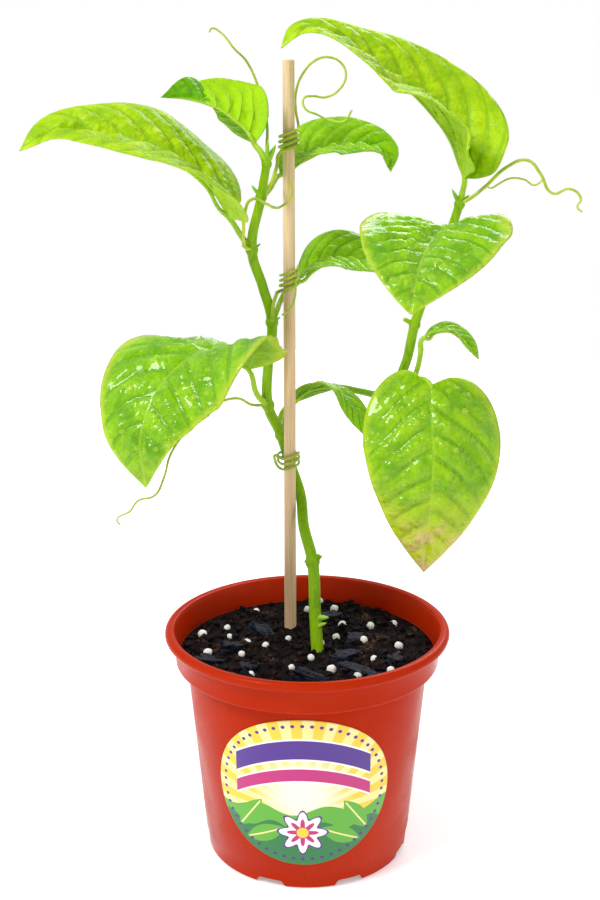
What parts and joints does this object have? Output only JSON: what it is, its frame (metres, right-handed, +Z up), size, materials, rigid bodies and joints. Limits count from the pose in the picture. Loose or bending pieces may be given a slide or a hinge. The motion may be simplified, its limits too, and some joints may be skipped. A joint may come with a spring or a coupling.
{
  "type": "potted passion flower vine",
  "caption": "Young climbing vine with heart-shaped leaves and curling tendrils, tied to a bamboo stake in a round plastic nursery pot of potting mix.",
  "frame": {"origin": "centre of the pot's flat underside, on the ground", "axes": "+Z up along the pot's axis, -Y towards the viewer and the pot's label, +X to the viewer's right"},
  "size_m": [0.2279, 0.13, 0.3736],
  "materials": {
    "pot_plastic": "satin moulded terracotta-red polypropylene",
    "label_paper": "coated printed sticker",
    "potting_mix": "crumbly dark peat with white perlite and bark",
    "bamboo": "split, unvarnished",
    "stem": "smooth green stem",
    "leaf": "waxy living leaf",
    "tendril": "smooth yellow-green tendril"
  },
  "bodies": {
    "root": {"pot": "pot_plastic", "label_sticker": "label_paper", "soil": "potting_mix", "stake": "bamboo", "vine_stem": "stem", "leaf_top_right": "leaf", "leaf_left": "leaf", "leaf_top_left": "leaf", "leaf_upper_behind": "leaf", "leaf_middle_behind": "leaf", "leaf_right_wet": "leaf", "leaf_heart": "leaf", "leaf_folded": "leaf", "leaf_left_wet": "leaf", "leaf_small_right": "leaf", "tendril_top_thin": "tendril", "tendril_top_coil": "tendril", "tendril_hook": "tendril", "tendril_middle_coil": "tendril", "tendril_lower_coil": "tendril", "tendril_hanging": "tendril", "tendril_right_long": "tendril", "tendril_right_thin": "tendril"}
  },
  "joints": []
}
